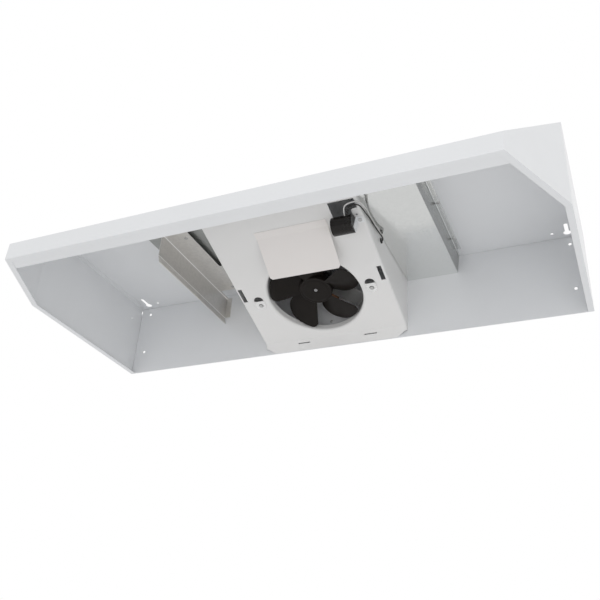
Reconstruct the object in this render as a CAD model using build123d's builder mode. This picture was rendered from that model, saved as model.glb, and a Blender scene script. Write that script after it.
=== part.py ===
from build123d import *
import os
from math import atan2, cos, pi, radians, sin, sqrt, tan

os.makedirs("parts", exist_ok=True)

# An under-cabinet range hood in bent sheet steel, its grease filter, lamp and lens taken out.
# X runs across the hood, Y from its front to its back, Z up. The origin is at the middle of the rim's plane.

# Canopy
width = 911.2
depth = 444.5
height = 152.4
sheet = 0.8
bend_radius = 1.6
strip_height = 31.0
strip_lean = 1.6
lip_depth = 10.0
flat_top_depth = 296.5      # back face to the fold of the slanted front
wing_start_depth = 306.5    # back face to the start of the mitred corner
corner_inset = 63.2
rim_flange = 9.5
weld_flange = 12.0
hem_height = 9.0
rail_depth = 30.0
rail_height = 12.0

# Holes of the canopy
keyhole_side = 24.7
keyhole_back = 15.0
keyhole_length = 25.0
keyhole_radius = 6.4
keyhole_slot_radius = 3.2
pilot_side = 49.6
pilot_back = 18.5
pilot_radius = 2.5
wall_hole_side = 23.5
wall_hole_low = 47.0
wall_hole_drop = 16.4       # flat top to the upper wall holes
wall_hole_radius = 2.75
corner_relief = 3.2
relief_height = 7.0
side_hole_back = 33.1
side_hole_z = 115.3
side_hole_radius = 1.5
knockout_slit = 1.2
knockout_bridge = 8.0
duct_length = 254.0
duct_width = 82.6
duct_margin = 12.5

# Fan plenum; a run is measured along its panel from the back face, a rise square to the panel's underside
plenum_width = 281.0
panel_angle = 18.44
panel_foot = 15.0           # height of the panel's plane at the back face
rear_flange_depth = 11.0
rear_crop_width = 22.0
rear_crop_height = 12.0
plenum_bend = 4.0
plenum_flange = 10.0
orifice_run = 112.5
orifice_radius = 92.0
collar_radius = 5.0
collar_depth = 14.0
filter_slot_width = 8.0
filter_slot_length = 31.0
filter_slot_run = 138.1
filter_slot_inset = 8.0     # plenum wall to the middle of the slot
tab_slot_length = 24.0
tab_slot_height = 1.8
tab_slot_z = 12.5
tab_slot_centres = (-60.0, 72.0)

# Turning clips that hold the filter
clip_x = 107.0
clip_run = 109.6
clip_width = 19.0
clip_reach = 12.7           # rivet to the clip's front edge
clip_sheet = 0.8
clip_lip = 2.4
clip_gap = 0.15
rivet_radius = 1.9
rivet_head_radius = 3.4
rivet_head = 1.2
running_clearance = 0.05
finger_radius = 9.0
finger_run = 121.2
finger_flat = 2.0

# Fan and motor; places along the fan's axis are rises
hub_rise = 15.0
hub_radius = 30.0
hub_depth = 20.0
hub_wall = 2.4
hub_boss_radius = 7.0
hub_rounding = 2.0
blade_count = 5
blade_phase = -14.0
blade_tip_radius = 84.0
blade_thickness = 1.6
blade_root_rise = 25.0
blade_tip_rise = 14.0
blade_root_shift = 4.0      # innermost section towards the trailing edge
blade_rounding = 14.0
blade_root_section = 20.0   # fan's axis to the innermost section, inside the hub
blade_root_chord = 32.0
blade_tip_chord = 66.0
blade_root_pitch = 34.0
blade_tip_pitch = 20.0
blade_camber = 0.09
shaft_radius = 3.175
shaft_front = 14.0
shaft_rear = 92.0
stack_rise = 54.0
stack_thickness = 24.0
stack_half_width = 31.0
stack_short_side = 30.0
stack_long_side = 50.0
stack_leg = 12.0
stack_window = 16.0
stack_rounding = 3.0
rotor_radius = 17.0
air_gap = 0.4
end_ring = 2.5
end_ring_radius = 14.0
coil_build = 8.0
coil_gap = 0.5
bearing_plate = 2.0
bearing_stand = 4.5
bearing_plate_width = 20.0
bearing_radius = 6.5
bearing_length = 6.5
bolt_radius = 2.0
bolt_offset = 25.5
bolt_head_radius = 3.4
bolt_head = 2.6
spacer_radius = 3.4
spacer_length = 7.5
strap_sheet = 1.5
strap_width = 34.0
strap_turn = 45.0
strap_leg_foot = 101.0
strap_leg_top = 90.0
strap_foot = 13.0
strap_pad_radius = 33.0
strap_hole_radius = 9.0

# Lamp
socket_radius = 15.25
socket_left = 91.5
socket_right = 127.0
socket_run = 259.3
socket_rise = -15.9
socket_wall = 1.5
socket_base = 8.0
socket_rounding = 1.5
liner_wall = 0.5
liner_inset = 1.5
contact_radius = 4.5
contact_height = 2.5
contact_gap = 1.0            # contact's face to the liner's end
bracket_sheet = 1.2
bracket_width = 12.0
bracket_run = 254.0
bracket_foot_x = 139.0
bracket_drop = 9.0          # socket's axis to the bracket's lower end
lamp_rivet_x = 133.5
tongue_hole_x = 130.7
tongue_hole_run = 264.3
window_left = 91.0
window_right = 135.5
window_start = 252.0
window_end = 296.0
tongue_left = 124.4
tongue_end = 277.0
tongue_rounding = 5.0
shield_left = -52.5
shield_right = 78.0
shield_run = 254.1
shield_length = 76.5
shield_bend = 16.2
shield_foot = 14.0
shield_corner = 4.0

# Leads and their grommet
lead_radius = 1.1
lead_spacing = 2.5
lead_exit_angle = 20.0     # above the panel's direction, round the socket
grommet_back = 157.5
grommet_drop = 9.6          # wiring box's bottom to the grommet's axis
grommet_radius = 4.8
grommet_hole_radius = 3.7
grommet_bore_radius = 2.7
grommet_lip = 1.6
lead_stand = 7.5            # plenum wall to the leads where they turn into the grommet
lead_wall_gap = 2.1         # plenum wall to the axis of a lead that runs along it
connector_radius = 4.2
connector_tip_radius = 2.4
connector_length = 17.0

# Wiring box and switches
box_depth = 36.5
box_width = 95.2
box_spread = 3.3
box_flange = 8.5
box_flange_back = 24.0      # back face to the end of the flange
box_screw_inset = 4.7
box_screw_backs = (60.0, 170.0, 280.0)
switch_spacing = 42.0
switch_drop = 16.4          # flat top to the middle of the switches
switch_width = 12.4
switch_length = 25.0
switch_depth = 13.0
bezel_margin = 2.0
bezel_height = 1.6
switch_wall = 1.2
rocker_gap = 0.4
rocker_height = 4.0
rocker_drop = 5.5
rocker_tilt = 8.0
pivot_radius = 1.2

# Left bay
channel_x = 245.0
channel_front = 249.0
channel_drop = 9.0          # flat top's underside to the channel's top plate
channel_web = 44.2
channel_lip = 14.4
channel_lip_lean = 3.6
channel_sheet = 1.0
channel_plate = 47.5
channel_wide_back = 35.0
channel_wide_front = 121.0
channel_foot = 12.0
channel_screw_inset = 12.0
channel_screw_backs = (45.0, 225.0)
port_plate_left = 287.0
port_plate_start = 75.0
port_plate_end = 262.0

# Sheet-metal screws
screw_radius = 1.8
screw_head_radius = 3.2
screw_head = 1.8

# Places that follow from the sizes above
half_width = width / 2
back_y = depth / 2
front_y = -depth / 2
fold_y = back_y - flat_top_depth
wing_y = back_y - wing_start_depth
strip_half = half_width - corner_inset
strip_slope = strip_lean / strip_height
strip_foot_y = front_y - bend_radius * (strip_slope + sqrt(1 + strip_slope**2) - 1)
strip_top_y = strip_foot_y + strip_lean
ceiling_z = height - sheet
inner_back_y = back_y - 2 * sheet
plenum_half = plenum_width / 2
slant_angle = atan2(height - strip_height, fold_y - strip_top_y)
panel_tilt = radians(panel_angle)
panel_sin = sin(panel_tilt)
panel_cos = cos(panel_tilt)
panel_up = (0, panel_sin, panel_cos)


def panel_point(x, run, rise):
    """A point given across the hood, along the panel and square to it."""
    return (
        x,
        back_y - run * panel_cos + rise * panel_sin,
        panel_foot + run * panel_sin + rise * panel_cos,
    )


def rise_of(point):
    """How far a point lies above the plane of the panel's underside."""
    return (point - Vector(*panel_point(0, 0, 0))).dot(Vector(*panel_up))


def panel_plane(x, run, rise):
    """A plane on the panel: its X across the hood, its Y down the panel to the back, its Z into the plenum."""
    return Plane(origin=panel_point(x, run, rise), x_dir=(1, 0, 0), z_dir=panel_up)


def square_plane(run):
    """A plane square to the panel: its X across the hood, its Y into the plenum, its Z towards the front."""
    return Plane(origin=panel_point(0, run, 0), x_dir=(1, 0, 0), z_dir=(0, -panel_cos, panel_sin))


def slant_plane(x, z):
    """A plane on the slanted front's outer face: its X across the hood, its Y up the slant, its Z outwards."""
    y = strip_top_y + (z - strip_height) / tan(slant_angle)
    outwards = (0, -sin(slant_angle), cos(slant_angle))
    return Plane(origin=(x, y, z), x_dir=(1, 0, 0), z_dir=outwards)


fan_axis = Axis(panel_point(0, orifice_run, 0), panel_up)
fan_plane = square_plane(orifice_run)
canopy_corners = [
    (front_y + lip_depth, 0),
    (strip_foot_y, 0),
    (strip_top_y, strip_height),
    (fold_y, height),
    (back_y, height),
    (back_y, height - weld_flange),
]

# The room inside the canopy wrap, as a section, trims the pieces that are welded to it
with BuildSketch(Plane.YZ) as room:
    with BuildLine():
        wrap_line = FilletPolyline(*canopy_corners, radius=bend_radius, mode=Mode.PRIVATE)
        inside = offset(wrap_line, amount=sheet, side=Side.RIGHT, closed=False)
        Polyline(
            inside @ 1,
            (back_y, height - weld_flange),
            (back_y, 0),
            (front_y + lip_depth, 0),
            inside @ 0,
        )
    make_face()

# The plan inside the mitred wings
with BuildSketch(Plane.XY) as plan:
    with BuildLine():
        Polyline(
            (0, back_y),
            (half_width, back_y),
            (half_width, wing_y),
            (strip_half, front_y),
            (0, front_y),
            close=True,
        )
    make_face()
    mirror(about=Plane.YZ)
    offset(amount=-sheet)

# Canopy wrap: lip, front strip, slanted front, flat top and rear turn-down, from one bent sheet
keyhole_ys = (back_y - keyhole_back, fold_y + keyhole_back + keyhole_length)
pilot_ys = (back_y - pilot_back, fold_y + pilot_back)
switch_middle = plenum_half + box_width / 2
switch_xs = [switch_middle + side * switch_spacing / 2 for side in (-1, 1)]
box_outer_x = plenum_half + box_width
switch_z = height - switch_drop
box_screw_x = box_outer_x + box_spread + box_screw_inset
box_screw_places = [(box_screw_x, back_y - back) for back in box_screw_backs]
box_bottom = ceiling_z - box_depth
grommet_z = box_bottom - grommet_drop
channel_screw_x = channel_plate - channel_screw_inset - channel_x
channel_screw_places = [(channel_screw_x, back_y - back) for back in channel_screw_backs]
with BuildPart() as canopy_wrap:
    with BuildSketch(Plane.YZ):
        with BuildLine():
            FilletPolyline(*canopy_corners, radius=bend_radius)
            offset(amount=sheet, side=Side.RIGHT)
        make_face()
    extrude(amount=half_width, both=True)
    # The front corners are cut back to the mitred wings
    with BuildSketch(Plane.XY):
        with BuildLine():
            Polyline(
                (half_width, wing_y),
                (strip_half, front_y),
                (strip_half, front_y - lip_depth),
                (half_width + lip_depth, front_y - lip_depth),
                (half_width + lip_depth, wing_y),
                close=True,
            )
        make_face()
        mirror(about=Plane.YZ)
    extrude(amount=height, mode=Mode.SUBTRACT)
    # Keyholes for the cabinet's screws, wide end to the back, with pilot holes beside them
    with BuildSketch(Plane.XY.offset(height)):
        for side in (-1, 1):
            keyhole_x = side * (half_width - keyhole_side)
            with Locations(*[(keyhole_x, y) for y in keyhole_ys]):
                Circle(keyhole_radius)
            with Locations(*[(keyhole_x, y - keyhole_length / 2) for y in keyhole_ys]):
                SlotCenterToCenter(keyhole_length, 2 * keyhole_slot_radius, rotation=90)
            with Locations(*[(side * (half_width - pilot_side), y) for y in pilot_ys]):
                Circle(pilot_radius)
        # Holes of the screws that hold the wiring box and the channel
        with Locations(*box_screw_places, *channel_screw_places):
            Circle(screw_radius)
    extrude(amount=-2 * sheet, mode=Mode.SUBTRACT)
    # Slits of the duct knock-out, bridged at the middle of each side
    with BuildSketch(Plane.XY.offset(height)):
        with Locations((0, inner_back_y - duct_margin - duct_width / 2)):
            Rectangle(duct_length, duct_width)
            Rectangle(duct_length - 2 * knockout_slit, duct_width - 2 * knockout_slit, mode=Mode.SUBTRACT)
            Rectangle(duct_length, knockout_bridge, mode=Mode.SUBTRACT)
            Rectangle(knockout_bridge, duct_width, mode=Mode.SUBTRACT)
    extrude(amount=-2 * sheet, mode=Mode.SUBTRACT)
    # Openings of the two switches in the slanted front
    for x in switch_xs:
        with BuildSketch(slant_plane(x, switch_z)):
            Rectangle(switch_width, switch_length)
        extrude(amount=-2 * sheet, mode=Mode.SUBTRACT)
    # The rear turn-down is relieved at both corners
    with BuildSketch(Plane.XY.offset(height - weld_flange)):
        for side in (-1, 1):
            with Locations((side * (half_width - corner_relief / 2), back_y - corner_relief / 2)):
                Rectangle(corner_relief, corner_relief)
    extrude(amount=relief_height, mode=Mode.SUBTRACT)
canopy_wrap.part.label = "canopy_wrap"

# End panel: rear turn, straight side and mitred wing, with a rim flange and a flange under the top
with BuildPart() as end_panel_right:
    with BuildSketch(Plane.XY):
        with BuildLine():
            FilletPolyline(
                (half_width - weld_flange, back_y),
                (half_width, back_y),
                (half_width, wing_y),
                (strip_half, front_y),
                radius=bend_radius,
            )
            offset(amount=sheet, side=Side.RIGHT)
        make_face()
    extrude(amount=height)
    with BuildSketch(Plane.XY):
        with BuildLine():
            Polyline((half_width, inner_back_y), (half_width, wing_y), (strip_half, front_y))
            offset(amount=rim_flange, side=Side.RIGHT)
        make_face()
    extrude(amount=sheet)
    with BuildSketch(Plane.XY.offset(ceiling_z)):
        with BuildLine():
            Polyline((half_width, inner_back_y - weld_flange), (half_width, fold_y + weld_flange))
            offset(amount=rim_flange, side=Side.RIGHT)
        make_face()
    extrude(amount=-sheet)
    extrude(room.sketch, amount=half_width, both=True, mode=Mode.INTERSECT)
    with BuildSketch(Plane.XY.offset(height - weld_flange)):
        with Locations((half_width - corner_relief / 2, back_y - corner_relief / 2)):
            Rectangle(corner_relief, corner_relief)
    extrude(amount=relief_height, mode=Mode.SUBTRACT)
    with BuildSketch(Plane.YZ.offset(half_width)):
        with Locations((back_y - side_hole_back, side_hole_z)):
            Circle(side_hole_radius)
    extrude(amount=-2 * sheet, mode=Mode.SUBTRACT)
end_panel_right.part.label = "end_panel_right"

with BuildPart() as end_panel_left:
    mirror(end_panel_right.part, about=Plane.YZ)
end_panel_left.part.label = "end_panel_left"

# Back panel, in front of the end panels' rear turns, its bottom edge hemmed outwards
with BuildPart() as back_panel:
    with BuildSketch(Plane.XZ.offset(-inner_back_y)):
        with Locations((0, (ceiling_z - bend_radius) / 2)):
            Rectangle(width - 2 * bend_radius, ceiling_z - bend_radius)
        for side in (-1, 1):
            wall_hole_x = side * (half_width - wall_hole_side)
            with Locations((wall_hole_x, wall_hole_low), (wall_hole_x, height - wall_hole_drop)):
                Circle(wall_hole_radius, mode=Mode.SUBTRACT)
    extrude(amount=-sheet)
    with BuildSketch(Plane.XZ.offset(-back_y)):
        with Locations((0, hem_height / 2)):
            Rectangle(width - 2 * weld_flange - 2 * bend_radius, hem_height)
    extrude(amount=sheet)
back_panel.part.label = "back_panel"

# Front rail: a channel across the hood, just above the lip
with BuildPart() as front_rail:
    with BuildSketch(Plane.YZ):
        with BuildLine():
            rail_front_y = strip_foot_y + sheet * sqrt(1 + strip_slope**2) + strip_slope * sheet
            FilletPolyline(
                (rail_front_y + strip_slope * rail_height, sheet + rail_height),
                (rail_front_y, sheet),
                (front_y + rail_depth, sheet),
                (front_y + rail_depth, sheet + rail_height),
                radius=bend_radius,
            )
            offset(amount=sheet, side=Side.LEFT)
        make_face()
    extrude(amount=half_width, both=True)
    extrude(plan.sketch, amount=height, mode=Mode.INTERSECT)
front_rail.part.label = "front_rail"

# Fan plenum: the sloped panel, its side walls and rear flange, with a rolled orifice for the fan
slant_z_foot = strip_height - strip_top_y * tan(slant_angle) - sheet / cos(slant_angle)
panel_z_foot = panel_foot + back_y * tan(panel_tilt)
panel_end_y = (panel_z_foot - slant_z_foot) / (tan(slant_angle) + tan(panel_tilt))
panel_end_z = panel_z_foot - panel_end_y * tan(panel_tilt)
fold_inside_y = (ceiling_z - slant_z_foot) / tan(slant_angle)
with BuildLine() as plenum_line:
    FilletPolyline(
        (inner_back_y, sheet),
        (back_y - rear_flange_depth, panel_foot + rear_flange_depth * tan(panel_tilt)),
        (panel_end_y, panel_end_z),
        radius=plenum_bend,
    )
with BuildLine() as plenum_inner_line:
    offset(plenum_line.line, amount=sheet, side=Side.RIGHT, closed=False)


def plenum_block(line, top_corners, half, rise, bend):
    """A block across the hood over a bottom line, with its long lower edges rounded like a bend."""
    with BuildPart() as block:
        with BuildSketch(Plane.YZ):
            with BuildLine():
                add(line)
                Polyline(line @ 1, *top_corners, line @ 0)
            make_face()
        extrude(amount=half, both=True)
        lower_edges = block.edges().filter_by(
            lambda edge: abs((edge @ 0.5).X) > half / 2 and abs(rise_of(edge @ 0.5) - rise) < sheet / 4
        )
        fillet(lower_edges, radius=bend)
    return block.part


plenum_outside = plenum_block(
    plenum_line.line,
    [(fold_inside_y, ceiling_z), (inner_back_y, ceiling_z)],
    plenum_half,
    0,
    plenum_bend,
)
plenum_inside = plenum_block(
    plenum_inner_line.line,
    [
        (panel_end_y - weld_flange, panel_end_z + weld_flange * tan(panel_tilt) + sheet / panel_cos),
        (panel_end_y - weld_flange, height),
        (back_y, height),
        (back_y, sheet),
    ],
    plenum_half - sheet,
    sheet,
    plenum_bend - sheet,
)
with BuildPart() as fan_plenum:
    add(plenum_outside)
    add(plenum_inside, mode=Mode.SUBTRACT)
    extrude(room.sketch, amount=half_width, both=True, mode=Mode.INTERSECT)
    # Flanges under the flat top
    with BuildSketch(Plane.XY.offset(ceiling_z)):
        for side in (-1, 1):
            with Locations((side * (plenum_half + plenum_flange / 2), (fold_inside_y + inner_back_y) / 2)):
                Rectangle(plenum_flange, inner_back_y - fold_inside_y - 2 * plenum_flange)
    extrude(amount=-sheet)
    # Rolled orifice
    with BuildSketch(panel_plane(0, orifice_run, 0)):
        Circle(orifice_radius + sheet)
    extrude(amount=2 * sheet, both=True, mode=Mode.SUBTRACT)
    with BuildSketch(fan_plane):
        with BuildLine():
            throat_radius = orifice_radius - collar_radius
            FilletPolyline(
                (orifice_radius + sheet, 0),
                (throat_radius, 0),
                (throat_radius, collar_depth),
                radius=collar_radius,
            )
            offset(amount=sheet, side=Side.RIGHT)
        make_face()
    revolve(axis=fan_axis)
    # Slots for the filter's tabs beside the walls, and finger holes and rivet holes for the turning clips
    for side in (-1, 1):
        with BuildSketch(panel_plane(side * (plenum_half - filter_slot_inset), filter_slot_run, 0)):
            Rectangle(filter_slot_width, filter_slot_length)
        extrude(amount=2 * sheet, both=True, mode=Mode.SUBTRACT)
        with BuildSketch(panel_plane(side * clip_x, finger_run, 0)):
            Circle(finger_radius)
            with Locations((0, finger_radius + finger_flat)):
                Rectangle(2 * finger_radius, 2 * finger_radius, mode=Mode.SUBTRACT)
        extrude(amount=2 * sheet, both=True, mode=Mode.SUBTRACT)
        with BuildSketch(panel_plane(side * clip_x, clip_run, 0)):
            Circle(rivet_radius)
        extrude(amount=2 * sheet, both=True, mode=Mode.SUBTRACT)
    # Slots in the rear flange, and its cropped lower corners
    with BuildSketch(Plane.XZ.offset(-back_y)):
        with Locations(*[(x, tab_slot_z) for x in tab_slot_centres]):
            Rectangle(tab_slot_length, tab_slot_height)
        for side in (-1, 1):
            with BuildLine():
                Polyline(
                    (side * plenum_half, 0),
                    (side * (plenum_half - rear_crop_width), 0),
                    (side * plenum_half, rear_crop_height),
                    close=True,
                )
            make_face()
    extrude(amount=2 * rear_flange_depth, mode=Mode.SUBTRACT)
    # Lamp window, with a rounded tongue of the panel beside it
    with BuildSketch(panel_plane(0, 0, 0)) as window:
        with BuildLine():
            Polyline(
                (window_left, -window_start),
                (window_left, -window_end),
                (window_right, -window_end),
                (window_right, -tongue_end),
                (tongue_left, -tongue_end),
                (tongue_left, -window_start),
                close=True,
            )
        make_face()
        fillet(window.vertices().sort_by_distance((tongue_left, -tongue_end))[0], radius=tongue_rounding)
        with Locations((lamp_rivet_x, -bracket_run), (tongue_hole_x, -tongue_hole_run)):
            Circle(rivet_radius)
    extrude(amount=2 * sheet, both=True, mode=Mode.SUBTRACT)
    # Hole of the leads' grommet in the right wall
    with BuildSketch(Plane.YZ.offset(plenum_half)):
        with Locations((back_y - grommet_back, grommet_z)):
            Circle(grommet_hole_radius)
    extrude(amount=2 * sheet, both=True, mode=Mode.SUBTRACT)
fan_plenum.part.label = "fan_plenum"


def turning_clip(side, name):
    """A spring-steel plate round its rivet, round at the back, with a lip turned down at the front."""
    with BuildPart() as clip:
        with BuildSketch(panel_plane(side * clip_x, clip_run, -clip_gap)):
            Circle(clip_width / 2)
            with Locations((0, -clip_reach / 2)):
                Rectangle(clip_width, clip_reach)
            Circle(rivet_radius + running_clearance, mode=Mode.SUBTRACT)
        extrude(amount=-clip_sheet)
        with BuildSketch(panel_plane(side * clip_x, clip_run + clip_reach - clip_sheet / 2, -clip_gap)):
            Rectangle(clip_width, clip_sheet)
        extrude(amount=-clip_sheet - clip_lip)
    clip.part.label = name
    return clip.part


def rivets(name, places, bottom, top):
    """Rivets through a stack of sheets, given as (x, run) places, with a head below and an upset end above."""
    with BuildPart() as group:
        for x, run in places:
            for rise, radius, length in (
                (bottom, rivet_head_radius, -rivet_head),
                (bottom, rivet_radius, top - bottom),
                (top, rivet_head_radius, rivet_head),
            ):
                with BuildSketch(panel_plane(x, run, rise)):
                    Circle(radius)
                extrude(amount=length)
    group.part.label = name
    return group.part


filter_clip_right = turning_clip(1, "filter_clip_right")
filter_clip_left = turning_clip(-1, "filter_clip_left")
clip_rivets = rivets(
    "clip_rivets",
    [(clip_x, clip_run), (-clip_x, clip_run)],
    -clip_gap - clip_sheet - running_clearance,
    sheet,
)

# Fan blade: a hub with a boss, and twisted, cambered blades trimmed to the tip circle
fan_frame = panel_plane(0, orifice_run, 0)


blade_outer_section = blade_tip_radius + hub_wall
root_half = blade_root_chord / 2 * cos(radians(blade_root_pitch))
tip_half = blade_tip_chord / 2 * cos(radians(blade_tip_pitch))


def blade_section(radius, rise, shift, chord, pitch):
    """A cambered section on a plane square to the first blade's middle line."""
    across = chord / 2 * cos(radians(pitch))
    along = chord / 2 * sin(radians(pitch))
    bow = chord * blade_camber
    middle = (-bow * sin(radians(pitch)), bow * cos(radians(pitch)))
    centre = fan_frame.from_local_coords((radius, shift, rise))
    with BuildSketch(Plane(origin=centre, x_dir=fan_frame.y_dir, z_dir=(1, 0, 0))) as section:
        with BuildLine():
            ThreePointArc((-across, -along), middle, (across, along))
            offset(amount=blade_thickness, side=Side.LEFT)
        make_face()
    return section.sketch


with BuildPart() as blade:
    loft(
        sections=[
            blade_section(
                blade_root_section, blade_root_rise, blade_root_shift, blade_root_chord, blade_root_pitch
            ),
            blade_section(blade_outer_section, blade_tip_rise, 0, blade_tip_chord, blade_tip_pitch),
        ]
    )
    # The outline from the front: two nearly straight edges, with the tip's corners rounded
    with BuildSketch(fan_frame) as outline:
        with BuildLine():
            Polyline(
                (blade_root_section, blade_root_shift - root_half),
                (blade_outer_section, -tip_half),
                (blade_outer_section, tip_half),
                (blade_root_section, blade_root_shift + root_half),
                close=True,
            )
        make_face()
        Circle(blade_tip_radius, mode=Mode.INTERSECT)
        fillet(outline.vertices().sort_by_distance(fan_frame.origin)[-2:], radius=blade_rounding)
        Circle(hub_radius - hub_wall / 2, mode=Mode.SUBTRACT)
    extrude(amount=stack_rise, both=True, mode=Mode.INTERSECT)

with BuildPart() as fan_blade:
    with BuildSketch(fan_plane) as hub_section:
        with BuildLine():
            Polyline(
                (shaft_radius, hub_rise),
                (hub_radius, hub_rise),
                (hub_radius, hub_rise + hub_depth),
                (hub_radius - hub_wall, hub_rise + hub_depth),
                (hub_radius - hub_wall, hub_rise + hub_wall),
                (hub_boss_radius, hub_rise + hub_wall),
                (hub_boss_radius, hub_rise + hub_depth),
                (shaft_radius, hub_rise + hub_depth),
                close=True,
            )
        make_face()
        fillet(hub_section.vertices().sort_by_distance((hub_radius, hub_rise))[0], radius=hub_rounding)
    revolve(axis=fan_axis)
    for number in range(blade_count):
        add(blade.part.rotate(fan_axis, blade_phase + number * 360 / blade_count))
fan_blade.part.label = "fan_blade"

# Motor: a shaded-pole motor with its coil on the long side of the stack
stack_end = stack_rise + stack_thickness
plate_bottom = stack_rise - bearing_stand - bearing_plate
strap_top = stack_rise - bearing_plate - spacer_length
bolt_places = [(-bolt_offset, 0), (bolt_offset, 0)]
coil_middle = stack_long_side - stack_leg / 2

with BuildPart() as motor_shaft:
    with BuildSketch(panel_plane(0, orifice_run, shaft_front)):
        Circle(shaft_radius)
    extrude(amount=shaft_rear - shaft_front)
motor_shaft.part.label = "motor_shaft"

with BuildPart() as motor_rotor:
    for rise, radius, length in (
        (stack_rise - end_ring, end_ring_radius, end_ring),
        (stack_rise, rotor_radius, stack_thickness),
        (stack_end, end_ring_radius, end_ring),
    ):
        with BuildSketch(panel_plane(0, orifice_run, rise)):
            Circle(radius)
            Circle(shaft_radius, mode=Mode.SUBTRACT)
        extrude(amount=length)
motor_rotor.part.label = "motor_rotor"

with BuildPart() as motor_stator:
    with BuildSketch(panel_plane(0, orifice_run, stack_rise)) as lamination:
        with Locations((0, (stack_long_side - stack_short_side) / 2)):
            Rectangle(2 * stack_half_width, stack_short_side + stack_long_side)
        fillet(lamination.vertices(), radius=stack_rounding)
        Circle(rotor_radius + air_gap, mode=Mode.SUBTRACT)
        with Locations((0, stack_long_side - stack_leg - stack_window / 2)):
            Rectangle(2 * (stack_half_width - stack_leg), stack_window, mode=Mode.SUBTRACT)
        with Locations(*bolt_places):
            Circle(bolt_radius, mode=Mode.SUBTRACT)
    extrude(amount=stack_thickness)
motor_stator.part.label = "motor_stator"

with BuildPart() as motor_coil:
    coil_plane = Plane(origin=fan_frame.origin, x_dir=fan_frame.y_dir, z_dir=(1, 0, 0))
    with BuildSketch(coil_plane):
        with Locations((coil_middle, (stack_rise + stack_end) / 2)):
            RectangleRounded(stack_leg + 2 * coil_build, stack_thickness + 2 * coil_build, coil_build / 2)
            Rectangle(stack_leg, stack_thickness, mode=Mode.SUBTRACT)
    extrude(amount=stack_half_width - stack_leg - coil_gap, both=True)
motor_coil.part.label = "motor_coil"


def bearing_bridge(name):
    """The lower bearing plate: a bridge with its feet on the stack and its middle away from the rotor."""
    with BuildPart() as bridge:
        with BuildSketch(fan_plane):
            with BuildLine():
                foot = stack_half_width - stack_leg
                FilletPolyline(
                    (-stack_half_width, stack_rise),
                    (-foot - bearing_plate, stack_rise),
                    (-foot + bearing_stand, stack_rise - bearing_stand),
                    (foot - bearing_stand, stack_rise - bearing_stand),
                    (foot + bearing_plate, stack_rise),
                    (stack_half_width, stack_rise),
                    radius=1.5 * bearing_plate,
                )
                offset(amount=bearing_plate, side=Side.RIGHT)
            make_face()
        extrude(amount=bearing_plate_width / 2, both=True)
        with BuildSketch(panel_plane(0, orifice_run, plate_bottom - bearing_plate)):
            Circle(bearing_radius)
            with Locations(*bolt_places):
                Circle(bolt_radius)
        extrude(amount=stack_rise - plate_bottom + bearing_plate, mode=Mode.SUBTRACT)
    bridge.part.label = name
    return bridge.part


stack_middle = panel_plane(0, orifice_run, (stack_rise + stack_end) / 2)
bearing_plate_lower = bearing_bridge("bearing_plate_lower")
with BuildPart() as bearing_plate_upper:
    mirror(bearing_plate_lower, about=stack_middle)
bearing_plate_upper.part.label = "bearing_plate_upper"

with BuildPart() as sleeve_bearings:
    with BuildSketch(panel_plane(0, orifice_run, stack_rise - bearing_stand)):
        Circle(bearing_radius)
        Circle(shaft_radius + running_clearance, mode=Mode.SUBTRACT)
    extrude(amount=-bearing_length)
    mirror(about=stack_middle)
sleeve_bearings.part.label = "sleeve_bearings"

with BuildPart() as motor_spacers:
    with BuildSketch(panel_plane(0, orifice_run, strap_top)):
        with Locations(*bolt_places):
            Circle(spacer_radius)
            Circle(bolt_radius, mode=Mode.SUBTRACT)
    extrude(amount=spacer_length)
motor_spacers.part.label = "motor_spacers"

# Motor strap: two legs on the panel, set diagonally, with a round pad under the motor
strap_bottom = strap_top - strap_sheet
with BuildPart() as strap_legs:
    with BuildSketch(fan_plane):
        with BuildLine():
            FilletPolyline(
                (-strap_leg_foot - strap_foot, sheet),
                (-strap_leg_foot, sheet),
                (-strap_leg_top, strap_bottom),
                (strap_leg_top, strap_bottom),
                (strap_leg_foot, sheet),
                (strap_leg_foot + strap_foot, sheet),
                radius=2 * strap_sheet,
            )
            offset(amount=strap_sheet, side=Side.LEFT)
        make_face()
    extrude(amount=strap_width / 2, both=True)

with BuildPart() as motor_strap:
    add(strap_legs.part.rotate(fan_axis, strap_turn))
    with BuildSketch(panel_plane(0, orifice_run, strap_bottom)):
        Circle(strap_pad_radius)
    extrude(amount=strap_sheet)
    with BuildSketch(panel_plane(0, orifice_run, strap_bottom)):
        Circle(strap_hole_radius)
        with Locations(*bolt_places):
            Circle(bolt_radius)
    extrude(amount=strap_sheet, mode=Mode.SUBTRACT)
motor_strap.part.label = "motor_strap"

with BuildPart() as motor_bolts:
    with BuildSketch(panel_plane(0, orifice_run, stack_end + bearing_plate)):
        with Locations(*bolt_places):
            Circle(bolt_head_radius)
    extrude(amount=bolt_head)
    with BuildSketch(panel_plane(0, orifice_run, stack_end + bearing_plate)):
        with Locations(*bolt_places):
            Circle(bolt_radius)
    extrude(amount=strap_bottom - bolt_head - bolt_radius - stack_end - bearing_plate)
motor_bolts.part.label = "motor_bolts"

with BuildPart() as motor_nuts:
    with BuildSketch(panel_plane(0, orifice_run, strap_bottom)):
        with Locations(*bolt_places):
            RegularPolygon(bolt_head_radius, 6)
            Circle(bolt_radius, mode=Mode.SUBTRACT)
    extrude(amount=-bolt_head)
motor_nuts.part.label = "motor_nuts"

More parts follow.
